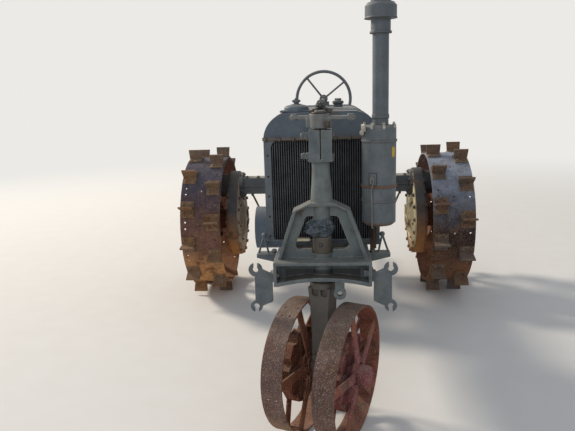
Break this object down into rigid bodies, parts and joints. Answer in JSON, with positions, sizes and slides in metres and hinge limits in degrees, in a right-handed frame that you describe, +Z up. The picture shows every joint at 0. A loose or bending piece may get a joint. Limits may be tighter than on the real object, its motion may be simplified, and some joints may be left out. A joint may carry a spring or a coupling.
{
  "type": "vintage row-crop tractor",
  "caption": "Old row-crop farm tractor on steel wheels: narrow twin front under one upright post, lugged rear wheels on drop cases, open steering gear and tall air stack.",
  "frame": {"origin": "on the ground under the middle of the outline seen from above, as it stands with its front wheels turned", "axes": "+Z up; the front of the tractor looks along -Y; +X is the tractor's left side"},
  "size_m": [2.152, 3.5087, 2.004],
  "materials": {
    "painted_casting": "olive-grey oil paint on cast iron, worn and rusty at the edges",
    "painted_steel": "grey paint on rolled steel, weathered",
    "painted_sheet": "blue-grey paint on sheet steel, weathered",
    "radiator_fins": "dark paint on thin vertical fins",
    "worn_cream_paint": "worn cream paint over rust",
    "rusty_iron": "rusted cast iron",
    "rusty_steel": "rolled steel under an even brown rust",
    "dark_steel": "dark bare steel, matt",
    "wheel_rim_iron": "dark painted iron, worn smooth",
    "red_rusty_steel": "rusty steel with worn red paint on the hub",
    "orange_rusty_steel": "bright orange-brown rust on steel",
    "blue_grey_iron": "blue-grey paint on cast iron"
  },
  "bodies": {
    "chassis": {"bolster": "painted_casting", "column_clamp": "painted_casting", "frame_rails": "painted_steel", "side_brackets": "painted_steel", "side_arms": "painted_casting", "radiator_core": "radiator_fins", "radiator_sides": "painted_sheet", "radiator_base": "painted_sheet", "radiator_top": "painted_sheet", "radiator_cap": "painted_sheet", "shaft_stands": "painted_casting", "fuel_tank": "painted_sheet", "fuel_cap": "painted_sheet", "engine_block": "painted_casting", "cylinder_head": "painted_casting", "oil_pan": "painted_casting", "manifold": "rusty_iron", "magneto": "dark_steel", "air_cleaner": "painted_sheet", "air_stack": "painted_sheet", "air_pipe": "painted_sheet", "clutch_housing": "painted_casting", "rear_housing": "painted_casting", "axle_tubes": "painted_casting", "drop_cases": "painted_casting", "drop_covers": "worn_cream_paint", "platform": "rusty_steel", "seat_spring": "rusty_steel", "seat": "rusty_steel", "levers": "dark_steel", "drawbar": "rusty_steel", "stays": "rusty_steel", "pto_shaft": "dark_steel"},
    "steered_post": {"steering_post": "painted_casting", "bevel_sector": "dark_steel", "spindle": "painted_casting", "front_axle": "painted_casting"},
    "steering_shaft_body": {"steering_shaft": "dark_steel", "steering_wheel": "wheel_rim_iron"},
    "front_left": {"front_wheel_left": "red_rusty_steel"},
    "front_right": {"front_wheel_right": "orange_rusty_steel"},
    "rear_left": {"rear_wheel_left": "rusty_steel"},
    "rear_right": {"rear_wheel_right": "rusty_steel"},
    "pulley": {"belt_pulley": "blue_grey_iron"},
    "cooling_fan": {"fan": "dark_steel"}
  },
  "joints": [
    {"name": "steering", "type": "hinge", "parent": "chassis", "child": "steered_post", "pos_m": [0, -1.3956, 0], "axis": [0, 0, 1], "range_deg": [-48, 92]},
    {"name": "steering_wheel_turn", "type": "hinge", "parent": "chassis", "child": "steering_shaft_body", "pos_m": [0, -1.3956, 1.537], "axis": [0, 1, 0], "range_deg": [-144, 276]},
    {"name": "front_left_spin", "type": "hinge", "parent": "steered_post", "child": "front_left", "pos_m": [0, -1.3956, 0.32161], "axis": [0.9269, -0.3745, -0.0244], "continuous": true},
    {"name": "front_right_spin", "type": "hinge", "parent": "steered_post", "child": "front_right", "pos_m": [0, -1.3956, 0.32161], "axis": [-0.9269, 0.3745, -0.0244], "continuous": true},
    {"name": "rear_left_spin", "type": "hinge", "parent": "chassis", "child": "rear_left", "pos_m": [0, 0.7044, 0.58318], "axis": [1, 0, 0], "continuous": true},
    {"name": "rear_right_spin", "type": "hinge", "parent": "chassis", "child": "rear_right", "pos_m": [0, 0.7044, 0.58318], "axis": [1, 0, 0], "continuous": true},
    {"name": "pulley_spin", "type": "hinge", "parent": "chassis", "child": "pulley", "pos_m": [0, 0.1294, 0.64518], "axis": [1, 0, 0], "continuous": true},
    {"name": "fan_spin", "type": "hinge", "parent": "chassis", "child": "cooling_fan", "pos_m": [0, -1.0136, 1.118], "axis": [0, 1, 0], "continuous": true}
  ],
  "couplings": [
    {"joint": "steering_wheel_turn", "follows": "steering", "ratio": 3}
  ]
}
